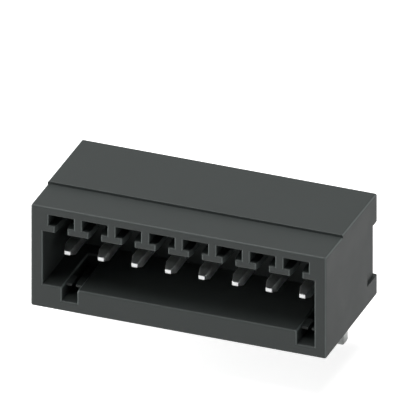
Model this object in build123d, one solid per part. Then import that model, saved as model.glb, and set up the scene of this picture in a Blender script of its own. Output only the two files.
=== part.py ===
from build123d import *
from math import radians, tan
import os

# Right-angle shrouded pin header: one moulded housing and a row of bent square pins.
# Millimetres. X runs along the row of contacts, Y from the mouth to the back, Z up.
# The origin is on the board's surface, on the line of the solder legs, at the middle
# of the row. The pieces are drawn from the front face and then moved back to the row.

# The row of contacts
contact_count = 8
pitch = 2.5
end_margin = 2.25            # from the last contact's centre to the housing's end

# The housing's section, from the board upwards
floor_thickness = 1.85
plug_height = 4.19           # clear height for the plug, between floor and bars
bar_thickness = 0.55
groove_height = 0.81         # clear height above the bars, under the roof
roof_thickness = 0.64        # at the front face
side_wall = 0.89

# The housing from front to back
housing_depth = 10.1
rear_wall = 1.45             # the wall that grips the pins
row_from_back = 1.32         # from the solder legs' centres to the back face
step_from_front = 3.33
step_height = 0.2            # the rear half of the top stands this much higher
top_slope = 1.25             # degrees, both halves of the top fall to the back
outer_radius = 0.15
step_radius = 0.05
mouth_radius = 0.15          # on every edge round the mouth

# The ribs under the roof: a stem and a wider bar between each two contacts
stem_width = 0.63
bar_width = 1.73
lead_in_length = 0.5         # the bars narrow over this length at the mouth
lead_in_taper = 0.105        # and by this much on each side
bar_edge_radius = 0.08       # along the bars' lower edges

# The two key grooves in the floor, of different widths so the plug fits one way
key_web = 0.79               # what is left of the floor under a groove
key_end_gap = 1.27           # from a groove's end to the rear wall
left_key_from_wall = 1.42
left_key_width = 1.14
right_key_width = 1.3
key_edge_radius = 0.18       # along the grooves' top edges
keeper_from_front = 0.9      # thin lips that bridge a groove behind its mouth
keeper_length = 1.2
keeper_thickness = 0.18
keeper_drop = 0.07           # below the floor's surface
keeper_slit = 0.3

# The back: a foot and a top lip at full size, with a waist between them
foot_height = 1.58
lip_height = 2.17            # at the back face
waist_length = 2.0           # measured forward from the back face
waist_side = 0.2             # how far the waist stands back at the sides
waist_back = 0.36            # and at the back

# The square pins
pin_size = 0.8
tip_width = 0.465
tip_height = 0.335
tip_length = 0.7
tip_from_front = 1.25        # how far the tips lie behind the front face
tail_length = 3.6            # below the housing's underside
bend_radius = 0.3            # inside the bend
pin_edge_bevel = 0.04        # along the pin's four edges
tail_chamfer = 0.1

# Clearances round the pins
hole_side_clearance = 0.03   # beside a pin in the rear wall
slot_side_clearance = 0.2    # beside a leg in its slot at the back
bend_gap = 0.08              # between the rear wall and the start of the bend
slot_head_gap = 0.3          # above a pin at the head of its slot

# Worked out from the sizes above
row_length = (contact_count - 1) * pitch
housing_width = row_length + 2 * end_margin
cavity_half = housing_width / 2 - side_wall
bar_z = floor_thickness + plug_height
groove_z = bar_z + bar_thickness
roof_z = groove_z + groove_height
front_height = roof_z + roof_thickness
top_fall = tan(radians(top_slope))
rear_height = front_height + step_height - housing_depth * top_fall
lip_z = rear_height - lip_height

row_from_front = housing_depth - row_from_back
leg_front = row_from_front - pin_size / 2
slot_front = leg_front - bend_radius - bend_gap
cavity_depth = slot_front - rear_wall
pin_z = floor_thickness + plug_height / 2
pin_bottom = pin_z - pin_size / 2
pin_top = pin_z + pin_size / 2
contact_places = [k * pitch - row_length / 2 for k in range(contact_count)]
rib_places = [(k - contact_count / 2) * pitch for k in range(contact_count + 1)]

past = 1.0                   # how far a cutting block runs past the face it opens
near = 0.001                 # how close an edge lies to the plane that it is picked by


def block(x_low, x_high, y_low, y_high, z_low, z_high):
    """A box between two limits on each axis."""
    size = (x_high - x_low, y_high - y_low, z_high - z_low)
    middle = Pos((x_low + x_high) / 2, (y_low + y_high) / 2, (z_low + z_high) / 2)
    return middle * Box(*size)


def prism_across(outline, width):
    """A side outline of (y, z) points, as a solid that runs across the row."""
    face = Plane.YZ * make_face(Polyline(*outline, close=True))
    return extrude(face, width / 2, both=True)


def top_at(y, raised):
    """Height of the sloping top at a distance behind the front face."""
    return front_height + raised - y * top_fall


def front_half():
    """The low half of the body, with its front and long edges rounded."""
    y_back = step_from_front
    outline = [(0, 0), (y_back, 0), (y_back, top_at(y_back, 0)), (0, front_height)]
    body = prism_across(outline, housing_width)
    seam = body.faces().sort_by(Axis.Y)[-1].edges()
    return fillet(body.edges() - seam, outer_radius)


def behind_step():
    """All that lies behind the step, with the step's top edge rounded in its outline."""
    y_far = housing_depth + past
    crest = (step_from_front, top_at(step_from_front, step_height))
    outline = [
        (step_from_front, -past),
        (y_far, -past),
        (y_far, top_at(y_far, step_height)),
        crest,
    ]
    sheet = make_face(Polyline(*outline, close=True))
    corner = sheet.vertices().sort_by_distance(crest)[0]
    sheet = fillet(corner, min(step_radius, 0.4 * step_height))
    return extrude(Plane.YZ * sheet, housing_width / 2 + past, both=True)


def rear_half():
    """The raised half, with its back and long edges rounded and a crisp step edge."""
    y_front = step_from_front
    y_back = housing_depth
    outline = [
        (y_front, 0),
        (y_back, 0),
        (y_back, top_at(y_back, step_height)),
        (y_front, top_at(y_front, step_height)),
    ]
    body = prism_across(outline, housing_width)
    seam = body.faces().sort_by(Axis.Y)[0].edges()
    return fillet(body.edges() - seam, outer_radius) & behind_step()


def waist():
    """What is cut away between the foot and the lip, round the sides and the back."""
    half = housing_width / 2
    y_front = housing_depth - waist_length
    around = block(-half - past, half + past, y_front, housing_depth + past, foot_height, lip_z)
    y_back = housing_depth - waist_back
    core = block(-half + waist_side, half - waist_side, 0, y_back, 0, front_height)
    return around - core


def rib(x):
    """A stem and a bar under the roof. The bar narrows towards the mouth."""
    wide = bar_width / 2
    narrow = wide - lead_in_taper
    plan = [
        (x - narrow, 0),
        (x + narrow, 0),
        (x + wide, lead_in_length),
        (x + wide, cavity_depth),
        (x - wide, cavity_depth),
        (x - wide, lead_in_length),
    ]
    sheet = make_face(Polyline(*plan, close=True))
    bar = Pos(0, 0, bar_z) * extrude(sheet, bar_thickness)
    half = stem_width / 2
    stem = block(x - half, x + half, 0, cavity_depth, groove_z, roof_z)
    return bar + stem


def cavity():
    """The room for the plug: a plain box less the ribs that hang from the roof."""
    room = block(-cavity_half, cavity_half, -past, cavity_depth, floor_thickness, roof_z)
    for x in rib_places:
        room -= rib(x)
    return room


def key_spans():
    """Low and high X of the two key grooves."""
    left_low = -cavity_half + left_key_from_wall
    right_low = cavity_half - right_key_width
    return [(left_low, left_low + left_key_width), (right_low, cavity_half)]


def key_groove(x_low, x_high):
    """A groove in the floor, open at the mouth."""
    return block(x_low, x_high, -past, cavity_depth - key_end_gap, key_web, floor_thickness)


def key_edges(body):
    """The top edges of the key grooves, without those in the front face."""
    level = body.edges().filter_by_position(Axis.Z, floor_thickness - near, floor_thickness + near)
    inside = level.filter_by_position(Axis.X, near - cavity_half, cavity_half - near)
    return inside.filter_by_position(Axis.Y, near, cavity_depth - near)


def keepers(x_low, x_high):
    """Two thin lips, one from each side of a groove, with a slit between them."""
    top = floor_thickness - keeper_drop
    middle = (x_low + x_high) / 2
    y_back = keeper_from_front + keeper_length
    root = key_edge_radius   # the lips start inside the walls, under the rounded edges
    lips = block(x_low - root, x_high + root, keeper_from_front, y_back, top - keeper_thickness, top)
    half = keeper_slit / 2
    return lips - block(middle - half, middle + half, 0, housing_depth, 0, front_height)


def pin_room(x):
    """The hole that grips a pin in the rear wall, and the open slot for its leg."""
    half_hole = pin_size / 2 + hole_side_clearance
    hole = block(x - half_hole, x + half_hole, 0, housing_depth, pin_bottom, pin_top)
    half_slot = pin_size / 2 + slot_side_clearance
    slot_head = pin_top + slot_head_gap
    y_back = housing_depth + past
    slot = block(x - half_slot, x + half_slot, slot_front, y_back, -past, slot_head)
    return hole + slot


def mouth_edges(body):
    """The edges round the openings in the front face, without the body's own."""
    front = body.faces().sort_by(Axis.Y)[0]
    return front.inner_wires()[0].edges()


def bar_edges(body):
    """The lower long edges of the bars, behind the rounded mouth."""
    low = body.edges().filter_by_position(Axis.Z, bar_z - near, bar_z + near)
    return ShapeList(
        edge for edge in low
        if abs(edge.tangent_at(0.5).Y) > 0.9 and abs(edge.center().X) < cavity_half - near
    )


def make_housing():
    body = front_half() + rear_half() - waist() - cavity()
    for span in key_spans():
        body -= key_groove(*span)
    body = fillet(key_edges(body), key_edge_radius)
    rounding = min(mouth_radius, 0.4 * bar_thickness, 0.4 * stem_width)
    body = fillet(mouth_edges(body), rounding)
    body = fillet(bar_edges(body), min(bar_edge_radius, 0.4 * bar_thickness))
    for span in key_spans():
        body += keepers(*span)
    for x in contact_places:
        body -= pin_room(x)
    return body


def section_at(x, y, z, direction, width, height):
    """A rectangle across the pin at a point, with its four corners bevelled."""
    across = Plane((x, y, z), x_dir=(1, 0, 0), z_dir=direction)
    sharp = Rectangle(width, height)
    return (across * chamfer(sharp.vertices(), pin_edge_bevel)).face()


def make_pin(x):
    """A square pin: pyramid tip, straight run, tight bend and solder leg."""
    tip_back = tip_from_front + tip_length
    tail_z = tail_chamfer - tail_length
    path = FilletPolyline(
        (x, tip_back, pin_z),
        (x, row_from_front, pin_z),
        (x, row_from_front, tail_z),
        radius=bend_radius + pin_size / 2,
    )
    to_back = (0, 1, 0)
    down = (0, 0, -1)
    shoulder = section_at(x, tip_back, pin_z, to_back, pin_size, pin_size)
    tip = section_at(x, tip_from_front, pin_z, to_back, tip_width, tip_height)
    leg = section_at(x, row_from_front, tail_z, down, pin_size, pin_size)
    tail_width = pin_size - 2 * tail_chamfer
    tail = section_at(x, row_from_front, -tail_length, down, tail_width, tail_width)
    rod = sweep(shoulder, path=path)
    return loft([tip, shoulder], ruled=True) + rod + loft([leg, tail], ruled=True)


def write_piece(solid, node):
    """Moves a piece from the front face to the solder row and writes its file."""
    placed = Pos(0, -row_from_front, 0) * solid
    export_step(placed, f"parts/{node}.step")
    box = placed.bounding_box()
    print(f"{node}: {placed.volume:.3f} mm3, {box.size.X:.2f} x {box.size.Y:.2f} x {box.size.Z:.2f}")


os.makedirs("parts", exist_ok=True)
write_piece(make_housing(), "housing")
for number, place in enumerate(contact_places, start=1):
    write_piece(make_pin(place), f"contact_pin_{number}")
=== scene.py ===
# %% [markdown]
# # Dressing a right-angle pin header
# The object is a small board connector: a dark plastic housing, open at the front, with
# eight square tinned pins that run through its rear wall and bend down behind it.
# The frame holds the pieces at their real size and place, in metres. This lesson gives
# them their finishes, lights them, and looks at them from the photograph's direction.
# X runs along the row of pins, Y from the mouth to the back, and Z up off the board.

import math

import bpy
import numpy as np
from mathutils import Matrix, Vector


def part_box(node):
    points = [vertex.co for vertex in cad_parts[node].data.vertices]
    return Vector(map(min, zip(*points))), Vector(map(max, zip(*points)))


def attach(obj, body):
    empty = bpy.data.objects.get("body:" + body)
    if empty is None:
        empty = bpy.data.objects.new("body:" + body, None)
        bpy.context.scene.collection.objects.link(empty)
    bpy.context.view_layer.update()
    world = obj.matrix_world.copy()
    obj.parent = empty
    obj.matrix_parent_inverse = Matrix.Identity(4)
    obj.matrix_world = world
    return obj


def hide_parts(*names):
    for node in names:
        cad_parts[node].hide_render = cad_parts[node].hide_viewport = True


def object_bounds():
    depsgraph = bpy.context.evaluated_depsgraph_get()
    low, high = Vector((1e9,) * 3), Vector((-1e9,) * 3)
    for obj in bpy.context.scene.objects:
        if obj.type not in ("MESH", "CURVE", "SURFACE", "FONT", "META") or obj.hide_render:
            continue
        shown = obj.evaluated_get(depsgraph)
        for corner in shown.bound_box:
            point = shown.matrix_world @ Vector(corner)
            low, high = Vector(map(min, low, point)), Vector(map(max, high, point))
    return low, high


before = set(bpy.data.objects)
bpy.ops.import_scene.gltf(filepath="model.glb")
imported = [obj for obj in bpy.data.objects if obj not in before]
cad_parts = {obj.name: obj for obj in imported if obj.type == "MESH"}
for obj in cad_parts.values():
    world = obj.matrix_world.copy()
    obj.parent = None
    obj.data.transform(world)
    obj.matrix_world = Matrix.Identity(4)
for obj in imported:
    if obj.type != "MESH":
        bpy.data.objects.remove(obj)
frame_low, frame_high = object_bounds()
pin_nodes = sorted(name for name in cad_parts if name.startswith("contact_pin"))
print("pieces in the frame:", sorted(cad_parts))

# %% [markdown]
# ## Reading sizes from the frame
# Everything that follows is placed by what the frame measures, so a longer header with
# more pins would be dressed by the same lesson. The housing stands on the board at
# height zero, and the solder legs reach below it.

# %% Sizes in metres
MM = 0.001
housing_low, housing_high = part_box("housing")
board_z = housing_low.z
front_y = housing_low.y
leg_tip_z = frame_low.z
print("overall size in mm:", [round(s / MM, 2) for s in frame_high - frame_low])
print("the housing is", round((housing_high.z - board_z) / MM, 2), "mm high")
print("legs reach", round((board_z - leg_tip_z) / MM, 2), "mm below the board's surface")

# %% [markdown]
# ## Small helpers for node materials
# A Blender material is a graph of nodes. These helpers keep each step on one line: one
# adds a node and fills its sockets by name, the other joins an output to an input.

# %% Helpers for node graphs
def new_graph(name):
    """An empty material, with its node tree ready to be filled."""
    material = bpy.data.materials.new(name)
    material.use_nodes = True
    material.node_tree.nodes.clear()
    return material, material.node_tree


def add(tree, kind, sockets=(), **settings):
    """A node of one kind, with its settings, and its sockets filled by name or number."""
    node = tree.nodes.new(kind)
    for name, value in settings.items():
        setattr(node, name, value)
    for name, value in dict(sockets).items():
        node.inputs[name].default_value = value
    return node


def join(tree, source, output, target, socket):
    """A link from one node's output to another node's input."""
    tree.links.new(source.outputs[output], target.inputs[socket])


# %% [markdown]
# ## Patterns and sums
# Every finish here mixes a few noises. A noise hovers round one half, so its middle is
# stretched before it drives a colour or a gloss. Other values are stretched in the same
# way, and a sum or a product of two values takes one more helper.

# %% Helpers for patterns
NOISE_MIDDLE = (0.3, 0.7)        # most of a noise's values lie between these


def noise_at(tree, coordinates, scale, detail=2.0, roughness=0.5):
    """Noise whose lumps are about one part in scale of a metre wide."""
    sockets = {"Scale": scale, "Detail": detail, "Roughness": roughness}
    node = add(tree, "ShaderNodeTexNoise", sockets)
    join(tree, coordinates[0], coordinates[1], node, "Vector")
    return node


def stretch(tree, source, output, span, result):
    """A straight map from one pair of values to another, held level beyond its ends."""
    sockets = {"From Min": span[0], "From Max": span[1], "To Min": result[0], "To Max": result[1]}
    node = add(tree, "ShaderNodeMapRange", sockets)
    join(tree, source, output, node, "Value")
    return node


def calculate(tree, operation, first, second):
    """A sum on two inputs, each a number or a node paired with the name of its output."""
    node = add(tree, "ShaderNodeMath", operation=operation)
    for socket, value in enumerate((first, second)):
        if isinstance(value, tuple):
            join(tree, value[0], value[1], node, socket)
        else:
            node.inputs[socket].default_value = value
    return node


# %% [markdown]
# ## The housing's plastic
# The housing is one moulding in glass-filled dark slate plastic. Its mould was spark
# eroded, which leaves a fine even grain, so the gloss is soft and wide. A real moulding
# isn't one colour: the glass fibres near the surface make it a little lighter and
# rougher in faint clouds a few millimetres wide, and fine specks break it up.
# The colour is set by two noises, the grain by a bump far finer than a pixel.

# %% The numbers of the plastic
PLASTIC_DARK = (0.0360, 0.0425, 0.0410, 1.0)
PLASTIC_PALE = (0.0395, 0.0465, 0.0450, 1.0)
PLASTIC_ROUGHNESS = (0.47, 0.53)
PLASTIC_GLOSS = 0.45
CLOUDS_PER_METRE = 420.0
SPECKS_PER_METRE = 9000.0
SPECKS_SHARE = 0.45              # in the colour, and the clouds have the rest
GRAIN_PER_METRE = 26000.0
GRAIN_DEPTH = 0.0000035
GRAIN_STRENGTH = 0.5
print("grain:", round(1 / GRAIN_PER_METRE / MM, 3), "mm wide,", round(GRAIN_DEPTH / MM, 4), "mm deep")

# %% [markdown]
# ## Painted highlights on the rounded edges
# The rounded edges get a paler colour, a painted highlight that stands in for the light
# they catch, and a little less roughness. They are found by their direction: a face that
# looks along an axis has one part of its direction at full length, and the middle of a
# rounding has none longer than 0.71. The edges that run along the row get only a quarter
# of the painted highlight and of the smoothing.
# A mask painted into an image could do the same, but this one needs no image and fits any size.

# %% A mask for the rounded edges
# The paler edge colour below is a painted highlight: it stands in for the light the rounded edges
# catch.
PLASTIC_EDGE_HIGHLIGHT = (0.1250, 0.1450, 0.1410, 1.0)
EDGE_SMOOTHER = 0.12           # how much the roughness falls on an edge under the painted highlight
HIGHLIGHT_ALONG_ROW = 0.25          # the share of the painted highlight left on the edges along the row
EDGE_SPAN = (0.985, 0.86)        # the longest part, on the flat and where the painted highlight is full
CROSS_SPAN = (0.1, 0.4)          # the part along X, on an edge along the row and across it


def edge_mask(tree):
    """None on the flat faces, one in the middle of the roundings between them."""
    place = add(tree, "ShaderNodeTexCoord")
    size = add(tree, "ShaderNodeVectorMath", operation="ABSOLUTE")
    join(tree, place, "Normal", size, 0)
    parts = add(tree, "ShaderNodeSeparateXYZ")
    join(tree, size, "Vector", parts, "Vector")
    level = calculate(tree, "MAXIMUM", (parts, "X"), (parts, "Y"))
    longest = calculate(tree, "MAXIMUM", (level, "Value"), (parts, "Z"))
    rounding = stretch(tree, longest, "Value", EDGE_SPAN, (0.0, 1.0))
    across = stretch(tree, parts, "X", CROSS_SPAN, (HIGHLIGHT_ALONG_ROW, 1.0))
    return calculate(tree, "MULTIPLY", (rounding, "Result"), (across, "Result"))


# %% [markdown]
# ## The plastic put together
# The clouds and specks choose between the two slate shades, and the mask lays the paler
# shade over the edges as a painted highlight. The roughness follows the clouds and falls
# on the edges.

# %% The slate plastic
def moulded_plastic(name):
    """Dark slate plastic with clouds, specks, a painted highlight on the rounded edges and a
    spark-eroded grain.
    """
    material, tree = new_graph(name)
    place = (add(tree, "ShaderNodeTexCoord"), "Object")
    clouds = noise_at(tree, place, CLOUDS_PER_METRE, detail=3.0)
    specks = noise_at(tree, place, SPECKS_PER_METRE, detail=2.0, roughness=0.7)
    grain = noise_at(tree, place, GRAIN_PER_METRE, detail=2.0, roughness=0.6)

    weights = add(tree, "ShaderNodeMix", {0: SPECKS_SHARE}, data_type="FLOAT")
    join(tree, clouds, "Fac", weights, 2)
    join(tree, specks, "Fac", weights, 3)
    shade = stretch(tree, weights, 0, NOISE_MIDDLE, (0.0, 1.0))
    even = add(tree, "ShaderNodeMix", {6: PLASTIC_DARK, 7: PLASTIC_PALE}, data_type="RGBA")
    join(tree, shade, "Result", even, 0)
    # The edge mask lays a painted highlight, a paler colour, over the rounded edges.
    highlight_mask = edge_mask(tree)
    colour = add(tree, "ShaderNodeMix", {7: PLASTIC_EDGE_HIGHLIGHT}, data_type="RGBA")
    join(tree, highlight_mask, "Value", colour, 0)
    join(tree, even, 2, colour, 6)

    rough = stretch(tree, clouds, "Fac", NOISE_MIDDLE, PLASTIC_ROUGHNESS)
    smoother = calculate(tree, "MULTIPLY", (highlight_mask, "Value"), EDGE_SMOOTHER)
    matt = calculate(tree, "SUBTRACT", (rough, "Result"), (smoother, "Value"))
    bump = add(tree, "ShaderNodeBump", {"Strength": GRAIN_STRENGTH, "Distance": GRAIN_DEPTH})
    join(tree, grain, "Fac", bump, "Height")

    sockets = {"IOR": 1.5, "Specular IOR Level": PLASTIC_GLOSS}
    shader = add(tree, "ShaderNodeBsdfPrincipled", sockets)
    join(tree, colour, 2, shader, "Base Color")
    join(tree, matt, "Value", shader, "Roughness")
    join(tree, bump, "Normal", shader, "Normal")
    output = add(tree, "ShaderNodeOutputMaterial")
    join(tree, shader, "BSDF", output, "Surface")
    return material


# %% [markdown]
# ## Dressing the housing
# The housing keeps the shape that the frame gives it. A mesh holds its materials in
# numbered slots and each face points at one of them, so the plastic goes in every slot.

# %% Dressing the housing
def dress(node_name, material):
    """Puts a material in every slot of a piece of the frame."""
    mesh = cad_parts[node_name].data
    if not mesh.materials:
        mesh.materials.append(material)
    for index in range(len(mesh.materials)):
        mesh.materials[index] = material


slate = moulded_plastic("slate_plastic")
dress("housing", slate)
print("slate plastic on the housing,", len(slate.node_tree.nodes), "nodes")

# %% [markdown]
# ## The pins as drawn wire
# Each pin is square wire: its tip is coined to a blunt pyramid, it runs straight through
# the rear wall, turns down through a tight bend, and is sheared off at the tail. It could
# be a box with a bevel and a bent copy, but wire is one outline carried along one path,
# and a surface made that way also knows how far along the wire each point lies. The
# finish needs that, because the drawing lines follow the wire round its bend.

# %% The wire's outline
EDGE_ROUND = 0.045 * MM
CORNER_STEPS = 5


def outline_rays(steps):
    """The outline as corner signs and rays, both as (across, out) pairs.

    A point of a section is: sign times (half size less the radius) plus ray times the
    radius. The rays turn once round, and each quarter turn belongs to one corner.
    """
    quarter = np.arange(4).repeat(steps)
    turn = (quarter + np.tile(np.linspace(0.0, 1.0, steps), 4)) * np.pi / 2
    ray = np.stack([np.cos(turn), np.sin(turn)], axis=1)
    middle = (quarter + 0.5) * np.pi / 2
    sign = np.sign(np.stack([np.cos(middle), np.sin(middle)], axis=1))
    return sign, ray


corner_sign, corner_ray = outline_rays(CORNER_STEPS)
print("the wire's outline has", len(corner_ray), "points")

# %% [markdown]
# ## Stations along the wire
# The path is a list of stations. Each holds the wire's centre, as (y, z) in the plane of
# the bend, and the half sizes of the section there. Along the straight runs the centre
# moves evenly, in the bend it goes round a circle, and at the ends the section shrinks:
# by a small quarter circle where the metal is rounded, and evenly where it is coined.
# A crease is two stations a hair apart, so that it shades as a soft edge.

# %% Stations of one pin
BEND_INSIDE = 0.3 * MM
TIP_HALF = np.array([0.465, 0.335]) / 2 * MM
TIP_LENGTH = 0.7 * MM
TAIL_CUT = 0.1 * MM
CREASE = 0.04 * MM
NOSE_STEPS = 4
END_STEPS = 3
STRAIGHT_STEPS = 8
BEND_STEPS = 18
AHEAD = np.array([1.0, 0.0])
DOWN = np.array([0.0, -1.0])


def evenly(start, stop, half_start, half_stop, steps):
    """Stations on a line from start to stop, with the half sizes changing evenly."""
    share = np.linspace(0.0, 1.0, steps)[:, None]
    return start + (stop - start) * share, half_start + (half_stop - half_start) * share


def wire_stations(low, high):
    """Centres, half sizes and turns of the pin that fills the box from low to high.

    The turn is the angle of the centre round the bend's hub, held between none on the
    run and a quarter turn on the leg.
    """
    half = np.full(2, (high.x - low.x) / 2)
    radius = BEND_INSIDE + half[0]
    tip = np.array([low.y, high.z - half[0]])
    tail = np.array([high.y - half[0], low.z])
    hub = np.array([tail[0], tip[1]]) - radius * (AHEAD - DOWN)

    quarter = np.linspace(0.0, np.pi / 2, NOSE_STEPS)[:, None]
    nose_centres = tip + AHEAD * EDGE_ROUND * (1 - np.cos(quarter))
    nose = nose_centres, TIP_HALF - EDGE_ROUND * (1 - np.sin(quarter))
    shoulder = tip + AHEAD * TIP_LENGTH
    growth = (half - TIP_HALF) / (TIP_LENGTH - EDGE_ROUND)
    coined = evenly(nose_centres[-1] + AHEAD * CREASE, shoulder - AHEAD * CREASE,
                    TIP_HALF + growth * CREASE, half - growth * CREASE, END_STEPS)
    run = evenly(shoulder + AHEAD * CREASE, hub - DOWN * radius, half, half, STRAIGHT_STEPS)
    turn = np.linspace(0.0, np.pi / 2, BEND_STEPS)[1:]
    bend_centres = hub + radius * np.stack([np.sin(turn), np.cos(turn)], axis=1)
    bend = bend_centres, np.tile(half, (len(turn), 1))
    leg = evenly(bend_centres[-1] + DOWN * CREASE, tail - DOWN * (TAIL_CUT + CREASE),
                 half, half, STRAIGHT_STEPS)
    cut = evenly(tail - DOWN * (TAIL_CUT - CREASE), tail, half - CREASE, half - TAIL_CUT, END_STEPS)

    parts = (nose, coined, run, bend, leg, cut)
    centres = np.concatenate([part[0] for part in parts])
    halves = np.concatenate([part[1] for part in parts])
    from_hub = centres - hub
    turns = np.clip(np.arctan2(from_hub[:, 0], from_hub[:, 1]), 0.0, np.pi / 2)
    return centres, halves, turns


stations = wire_stations(*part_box(pin_nodes[0]))
print("a pin has", len(stations[0]), "stations")

# %% [markdown]
# ## The wire's surface
# The outline at every station makes a grid: rows along the wire, columns round it. Each
# cell is a face, and the two ends are closed with one face each. The map laid over the
# wire holds true distances in millimetres, along it and round it.

# %% The cells of a tube
def grid_faces(rows, columns):
    """Corner numbers of the cells of a tube, in an order that faces outwards."""
    row, column = np.meshgrid(np.arange(rows - 1), np.arange(columns), indexing="ij")
    after = (column + 1) % columns
    corners = [row * columns + column, (row + 1) * columns + column,
               (row + 1) * columns + after, row * columns + after]
    return np.stack(corners, axis=-1).reshape(-1, 4)


def grid_map(along, around):
    """The map of the cells: distance along the wire and distance round it, in millimetres."""
    row, column = np.meshgrid(np.arange(len(along) - 1), np.arange(len(around) - 1), indexing="ij")
    pairs = [(row, column), (row + 1, column), (row + 1, column + 1), (row, column + 1)]
    cells = [np.stack([along[r], around[c]], axis=-1) for r, c in pairs]
    return np.stack(cells, axis=2).reshape(-1, 2) / MM


def lengths_between(points):
    """Running distance along a row of points, from zero at the first."""
    steps = np.linalg.norm(np.diff(points, axis=0), axis=1)
    return np.concatenate([[0.0], np.cumsum(steps)])


print("a tube of", len(stations[0]), "by", len(corner_ray), "points has",
      len(grid_faces(len(stations[0]), len(corner_ray))), "cells")

# %% [markdown]
# ## Sweeping the outline
# One function now lays the outline at every station, closes the ends and keeps the map.
# The smooth shading is weighted towards the large flat faces, so that they stay flat and
# only the narrow rounded edges between them bend the light.

# %% Sweeping the outline
FLAT_FACES_LEAD = 80


def swept_wire(name, low, high):
    """One pin as a closed surface.

    A point is: the station's centre, plus the outline's across part along X, plus its
    out part along (sin turn, cos turn) in the plane of the bend.
    """
    centres, halves, turns = wire_stations(low, high)
    section = corner_sign * (halves[:, None, :] - EDGE_ROUND) + corner_ray * EDGE_ROUND
    outward = np.stack([np.sin(turns), np.cos(turns)], axis=1)[:, None, :]
    rows, columns = section.shape[:2]
    points = np.empty((rows, columns, 3))
    points[..., 0] = (low.x + high.x) / 2 + section[..., 0]
    points[..., 1:] = centres[:, None, :] + section[..., 1:] * outward

    first_ring = np.arange(columns)
    last_ring = first_ring[::-1] + (rows - 1) * columns
    faces = grid_faces(rows, columns).tolist() + [first_ring.tolist(), last_ring.tolist()]
    mesh = bpy.data.meshes.new(name)
    mesh.from_pydata(points.reshape(-1, 3).tolist(), [], faces)
    full = section[rows // 2]
    around = lengths_between(np.concatenate([full, full[:1]]))
    ends = np.concatenate([section[0], section[-1][::-1]]) / MM
    laid = np.concatenate([grid_map(lengths_between(centres), around), ends])
    mesh.uv_layers.new(name="along_wire").data.foreach_set("uv", laid.ravel())
    mesh.shade_smooth()
    pin = bpy.data.objects.new(name, mesh)
    bpy.context.scene.collection.objects.link(pin)
    shading = pin.modifiers.new("flat_faces_lead", "WEIGHTED_NORMAL")
    shading.weight = FLAT_FACES_LEAD
    return pin


# %% [markdown]
# ## The tin finish
# The wire was drawn through a die and then tinned, so very fine lines run along it under
# a satin coat. The lines come from a noise that is drawn out along the wire, read from
# the map laid over it. They make the metal a little uneven in gloss and tone, and a bump
# far finer than a hair gives them their relief.

# %% The tin finish
TIN_DULL = (0.87, 0.89, 0.88, 1.0)
TIN_BRIGHT = (0.94, 0.96, 0.95, 1.0)
TIN_ROUGHNESS = (0.44, 0.36)     # where it is dull, and where it is bright
LINES_AROUND = 26.0              # lines to each millimetre round the wire
LINES_ALONG = 0.9
LINE_DEPTH = 0.0000012
LINE_STRENGTH = 0.4
TIN_CLOUDS_PER_METRE = 1400.0
TIN_CLOUDS_SHARE = 0.5           # in the shade, and the lines have the rest


def drawn_tin(name):
    """Satin tin with fine lines along the wire and faint clouds in its gloss."""
    material, tree = new_graph(name)
    laid = add(tree, "ShaderNodeUVMap", uv_map="along_wire")
    drawn_out = add(tree, "ShaderNodeMapping", {"Scale": (LINES_ALONG, LINES_AROUND, 1.0)})
    join(tree, laid, "UV", drawn_out, "Vector")
    lines = noise_at(tree, (drawn_out, "Vector"), 1.0, detail=3.0, roughness=0.6)
    place = (add(tree, "ShaderNodeTexCoord"), "Object")
    clouds = noise_at(tree, place, TIN_CLOUDS_PER_METRE, detail=2.0)

    weights = add(tree, "ShaderNodeMix", {0: TIN_CLOUDS_SHARE}, data_type="FLOAT")
    join(tree, lines, "Fac", weights, 2)
    join(tree, clouds, "Fac", weights, 3)
    shade = stretch(tree, weights, 0, NOISE_MIDDLE, (0.0, 1.0))
    colour = add(tree, "ShaderNodeMix", {6: TIN_DULL, 7: TIN_BRIGHT}, data_type="RGBA")
    join(tree, shade, "Result", colour, 0)
    satin = stretch(tree, weights, 0, NOISE_MIDDLE, TIN_ROUGHNESS)
    bump = add(tree, "ShaderNodeBump", {"Strength": LINE_STRENGTH, "Distance": LINE_DEPTH})
    join(tree, lines, "Fac", bump, "Height")

    shader = add(tree, "ShaderNodeBsdfPrincipled", {"Metallic": 1.0})
    join(tree, colour, 2, shader, "Base Color")
    join(tree, satin, "Result", shader, "Roughness")
    join(tree, bump, "Normal", shader, "Normal")
    output = add(tree, "ShaderNodeOutputMaterial")
    join(tree, shader, "BSDF", output, "Surface")
    return material


tin = drawn_tin("drawn_tin")
print("drawn tin,", len(tin.node_tree.nodes), "nodes")

# %% [markdown]
# ## The row of pins
# Every pin of the frame gives its own box, and a swept wire that fills the box takes its
# place. The pins ride with the housing, since nothing in the header moves.

# %% The row of pins
for number, node_name in enumerate(pin_nodes, start=1):
    pin = swept_wire(f"tinned_pin_{number}", *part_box(node_name))
    pin.data.materials.append(tin)
    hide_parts(node_name)
    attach(pin, "root")
print(len(pin_nodes), "pins of", len(pin.data.polygons), "faces each")

# %% [markdown]
# ## The floor
# The header is shown on a plain white table, with the tips of its legs just touching
# it. The table is a real diffuse surface, so it takes the header's soft shadow and
# throws light back up on the front and the sides. To the camera it also glows, which
# lifts the open table to plain white and leaves a faint shadow where it is. In the
# reflections of the metal it glows only a little.

# %% The white table
TABLE_SIZE = 1.2
TABLE_WHITE = (0.86, 0.86, 0.86, 1.0)
GLOW_SEEN = 0.82                 # to the camera
GLOW_MIRRORED = 0.10             # in reflections


def white_table(name, z):
    """A flat square sheet, worked out as a grid of corners."""
    half = TABLE_SIZE / 2
    steps = np.array([-half, half])
    x, y = np.meshgrid(steps, steps)
    points = np.stack([x.ravel(), y.ravel(), np.full(4, z)], axis=1)
    mesh = bpy.data.meshes.new(name)
    mesh.from_pydata(points.tolist(), [], [(0, 1, 3, 2)])
    sheet = bpy.data.objects.new(name, mesh)
    bpy.context.scene.collection.objects.link(sheet)
    return sheet


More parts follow.
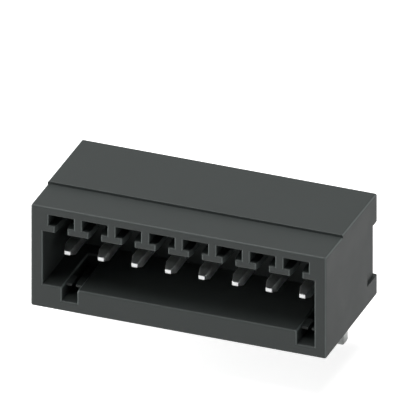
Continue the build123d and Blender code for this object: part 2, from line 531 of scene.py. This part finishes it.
def table_paint(name):
    """Matt white that glows towards the camera, and faintly in reflections."""
    material, tree = new_graph(name)
    paint = add(tree, "ShaderNodeBsdfDiffuse", {"Color": TABLE_WHITE, "Roughness": 0.0})
    path = add(tree, "ShaderNodeLightPath")
    seen = calculate(tree, "MULTIPLY", (path, "Is Camera Ray"), GLOW_SEEN)
    mirrored = calculate(tree, "MULTIPLY", (path, "Is Glossy Ray"), GLOW_MIRRORED)
    strength = calculate(tree, "ADD", (seen, "Value"), (mirrored, "Value"))
    glow = add(tree, "ShaderNodeEmission", {"Color": (1, 1, 1, 1)})
    join(tree, strength, "Value", glow, "Strength")
    both = add(tree, "ShaderNodeAddShader")
    join(tree, paint, "BSDF", both, 0)
    join(tree, glow, "Emission", both, 1)
    output = add(tree, "ShaderNodeOutputMaterial")
    join(tree, both, "Shader", output, "Surface")
    return material


table = white_table("white_table", leg_tip_z)
table.data.materials.append(table_paint("table_paint"))
print("white table at", round(leg_tip_z / MM, 2), "mm")

# %% [markdown]
# ## Light
# The light in the photograph is soft. A large lamp straight above gives the even top, and
# lets the floor of the mouth fall off to black within a few millimetres. A long low strip
# at the left lights the front at a slant and brightens the table, which throws light back
# up on the front and the right face. A faint low lamp at the right reaches into the mouth
# to its left wall, and brightens the edges of the right face.
# A lamp is given by how bright its face looks, where one is a white card in full light.
# Its power follows from that and from its area.

# %% The lamps
def soft_lamp(name, place, aim, width, depth, brightness):
    """A rectangular lamp turned to face a point. Its power is pi times area times brightness."""
    data = bpy.data.lights.new(name, "AREA")
    data.shape = "RECTANGLE"
    data.size = width
    data.size_y = depth
    data.energy = math.pi * width * depth * brightness
    lamp = bpy.data.objects.new(name, data)
    lamp.location = place
    lamp.rotation_euler = (Vector(aim) - Vector(place)).to_track_quat("-Z", "Y").to_euler()
    bpy.context.scene.collection.objects.link(lamp)
    print(f"{name}: {data.energy:.2f} watts")


middle = (frame_low + frame_high) / 2
above = middle + Vector((-0.012, -0.006, 0.30))
at_left = middle + Vector((-0.30, -0.03, 0.06))
at_right = middle + Vector((0.26, -0.15, 0.03))
soft_lamp("overhead_light", above, middle, width=0.22, depth=0.22, brightness=5.3)
soft_lamp("left_strip", at_left, middle, width=0.42, depth=0.12, brightness=8.0)
soft_lamp("right_fill", at_right, middle, width=0.20, depth=0.08, brightness=1.5)

# %% [markdown]
# ## The tent
# A tent of white paper stands round the table, open at the front where the camera is.
# Hardly any light comes from it, so the shadows keep their depth. In reflections its
# walls are white at the table's level and fade to a dim roof 27 degrees up. That draws a
# bright line on the rounded edges, and leaves the flat top and the deep mouth dark.

# %% The walls and the roof
WALL_HEIGHTS = (0.0, 0.45)       # how far up a direction looks: white below, roof above
WALL_SHADES = (1.0, 0.21)        # the walls at the table's level, and the roof
WALL_STARTS = (-0.4, 0.2)        # how far back a direction looks: open front, whole wall

world = bpy.data.worlds.new("light_tent")
world.use_nodes = True
tent = world.node_tree
tent.nodes.clear()
direction = add(tent, "ShaderNodeTexCoord")
parts = add(tent, "ShaderNodeSeparateXYZ")
join(tent, direction, "Generated", parts, "Vector")
paper = stretch(tent, parts, "Z", WALL_HEIGHTS, WALL_SHADES)
wall = stretch(tent, parts, "Y", WALL_STARTS, (0.0, 1.0))
walls = calculate(tent, "MULTIPLY", (paper, "Result"), (wall, "Result"))
slopes = [round(math.degrees(math.asin(height))) for height in WALL_HEIGHTS]
print("tent: white up to", slopes[0], "degrees in reflections, dim from", slopes[1])

# %% [markdown]
# ## Who sees the tent
# A ray knows what sent it, so one tent can look different to each kind. The rays that a
# glossy surface sends out see the walls and the roof. All others meet its own faint
# light, apart from those of the camera, which see plain white.

# %% A look for each kind of ray
TENT_LIGHT = 0.05
tent_path = add(tent, "ShaderNodeLightPath")
mirrored = calculate(tent, "MULTIPLY", (walls, "Value"), (tent_path, "Is Glossy Ray"))
strength = calculate(tent, "ADD", (mirrored, "Value"), TENT_LIGHT)
ambient = add(tent, "ShaderNodeBackground", {"Color": (1, 1, 1, 1)})
join(tent, strength, "Value", ambient, "Strength")
shown = add(tent, "ShaderNodeBackground", {"Color": (1, 1, 1, 1), "Strength": 1.0})
choice = add(tent, "ShaderNodeMixShader")
join(tent, tent_path, "Is Camera Ray", choice, 0)
join(tent, ambient, "Background", choice, 1)
join(tent, shown, "Background", choice, 2)
join(tent, choice, "Shader", add(tent, "ShaderNodeOutputWorld"), "Surface")
bpy.context.scene.world = world
bpy.context.scene.view_settings.view_transform = "Standard"
print("light tent,", len(tent.nodes), "nodes")

# %% [markdown]
# ## The camera
# The long edges of the header stay parallel in the photograph, so it was taken from far
# away: the camera is orthographic. Its direction was worked out from the header's own
# edges: it looks from the right, nearly 21 degrees round, and down by 29 degrees.

# %% The camera
AZIMUTH = math.radians(20.791)
ELEVATION = math.radians(28.953)
PICTURE_PIXELS = 408
PIXELS_PER_MM = 14.364
CENTRE_RIGHT = 1.7908 * MM       # from the middle of the front's lower edge
CENTRE_UP = 8.938 * MM
CAMERA_DISTANCE = 0.25

right = Vector((math.cos(AZIMUTH), math.sin(AZIMUTH), 0.0))
back = Vector((
    math.sin(AZIMUTH) * math.cos(ELEVATION),
    -math.cos(AZIMUTH) * math.cos(ELEVATION),
    math.sin(ELEVATION),
))
up = back.cross(right)
aim = Vector((0.0, front_y, board_z)) + right * CENTRE_RIGHT + up * CENTRE_UP
camera_data = bpy.data.cameras.new("long_lens")
camera_data.type = "ORTHO"
camera_data.ortho_scale = PICTURE_PIXELS / PIXELS_PER_MM * MM
camera_data.clip_start = 0.01
camera_data.clip_end = 2.0
camera = bpy.data.objects.new("long_lens", camera_data)
turn = Matrix((right, up, back)).transposed()
camera.matrix_world = Matrix.Translation(aim + back * CAMERA_DISTANCE) @ turn.to_4x4()
bpy.context.scene.collection.objects.link(camera)
bpy.context.scene.camera = camera
print("camera looks along", [round(c, 3) for c in -back])
